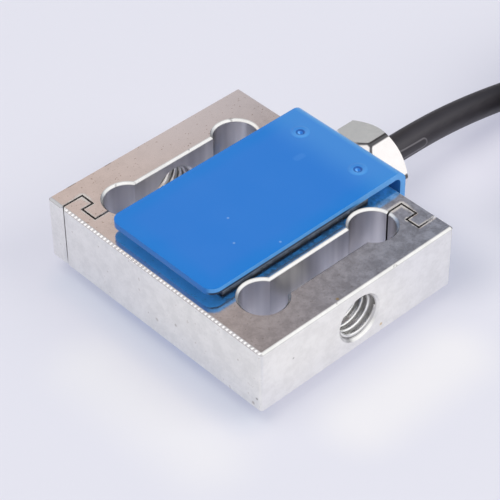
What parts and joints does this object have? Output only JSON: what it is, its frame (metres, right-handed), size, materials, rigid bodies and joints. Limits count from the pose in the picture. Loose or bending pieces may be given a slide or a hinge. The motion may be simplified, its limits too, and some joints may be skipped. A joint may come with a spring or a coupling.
{
  "type": "s type load cell",
  "caption": "Flat S-shaped steel force sensor with two slotted windows, a threaded load hole at each end, a wrap-over cover and a side cable",
  "frame": {"origin": "on the rest plane, the underside of the cover's lower leaf, below the centre of the steel block", "axes": "+Y along the load axis towards the rear threaded hole, +X towards the cable, +Z out of the upper face"},
  "size_m": [0.1434, 0.0979, 0.0205],
  "materials": {
    "alloy_steel": "fine-milled, bright nickel plate",
    "blue_enamel": "glossy enamel",
    "plated_steel": "bright plated",
    "black_rubber": "matt",
    "brass": "turned",
    "cable_jacket": "glossy black PVC",
    "gauge_film": "amber polyimide film",
    "circuit_board": "glass-fibre laminate",
    "resistor_body": "lacquered",
    "red_insulation": "smooth",
    "black_insulation": "smooth",
    "green_insulation": "smooth",
    "white_insulation": "smooth",
    "enamelled_copper": "enamelled copper",
    "potting_compound": "black silicone",
    "tie_plastic": "moulded nylon",
    "tinned_braid": "tinned copper braid, twisted"
  },
  "bodies": {
    "root": {"spring_element": "alloy_steel", "cover": "blue_enamel", "gland_screw": "plated_steel", "gland_seal_ring": "black_rubber", "cable_grommet": "black_rubber", "cable_stop_ring": "brass", "cable_sheath_inside": "cable_jacket", "cable_free": "cable_jacket", "cable_coil": "cable_jacket", "cable_tail": "cable_jacket", "strain_gauge_rear_left": "gauge_film", "strain_gauge_rear_right": "gauge_film", "strain_gauge_front_left": "gauge_film", "strain_gauge_front_right": "gauge_film", "terminal_board": "circuit_board", "balance_resistor": "resistor_body", "span_resistor": "resistor_body", "core_red": "red_insulation", "core_black": "black_insulation", "core_green": "green_insulation", "core_white": "white_insulation", "gauge_wires_rear_left": "enamelled_copper", "gauge_wires_front_left": "enamelled_copper", "gauge_wires_rear_right": "enamelled_copper", "gauge_wires_front_right": "enamelled_copper", "potting_top": "potting_compound", "potting_bottom": "potting_compound", "coil_tie": "tie_plastic", "lead_red": "red_insulation", "lead_black": "black_insulation", "lead_green": "green_insulation", "lead_white": "white_insulation", "lead_shield": "tinned_braid"}
  },
  "joints": []
}
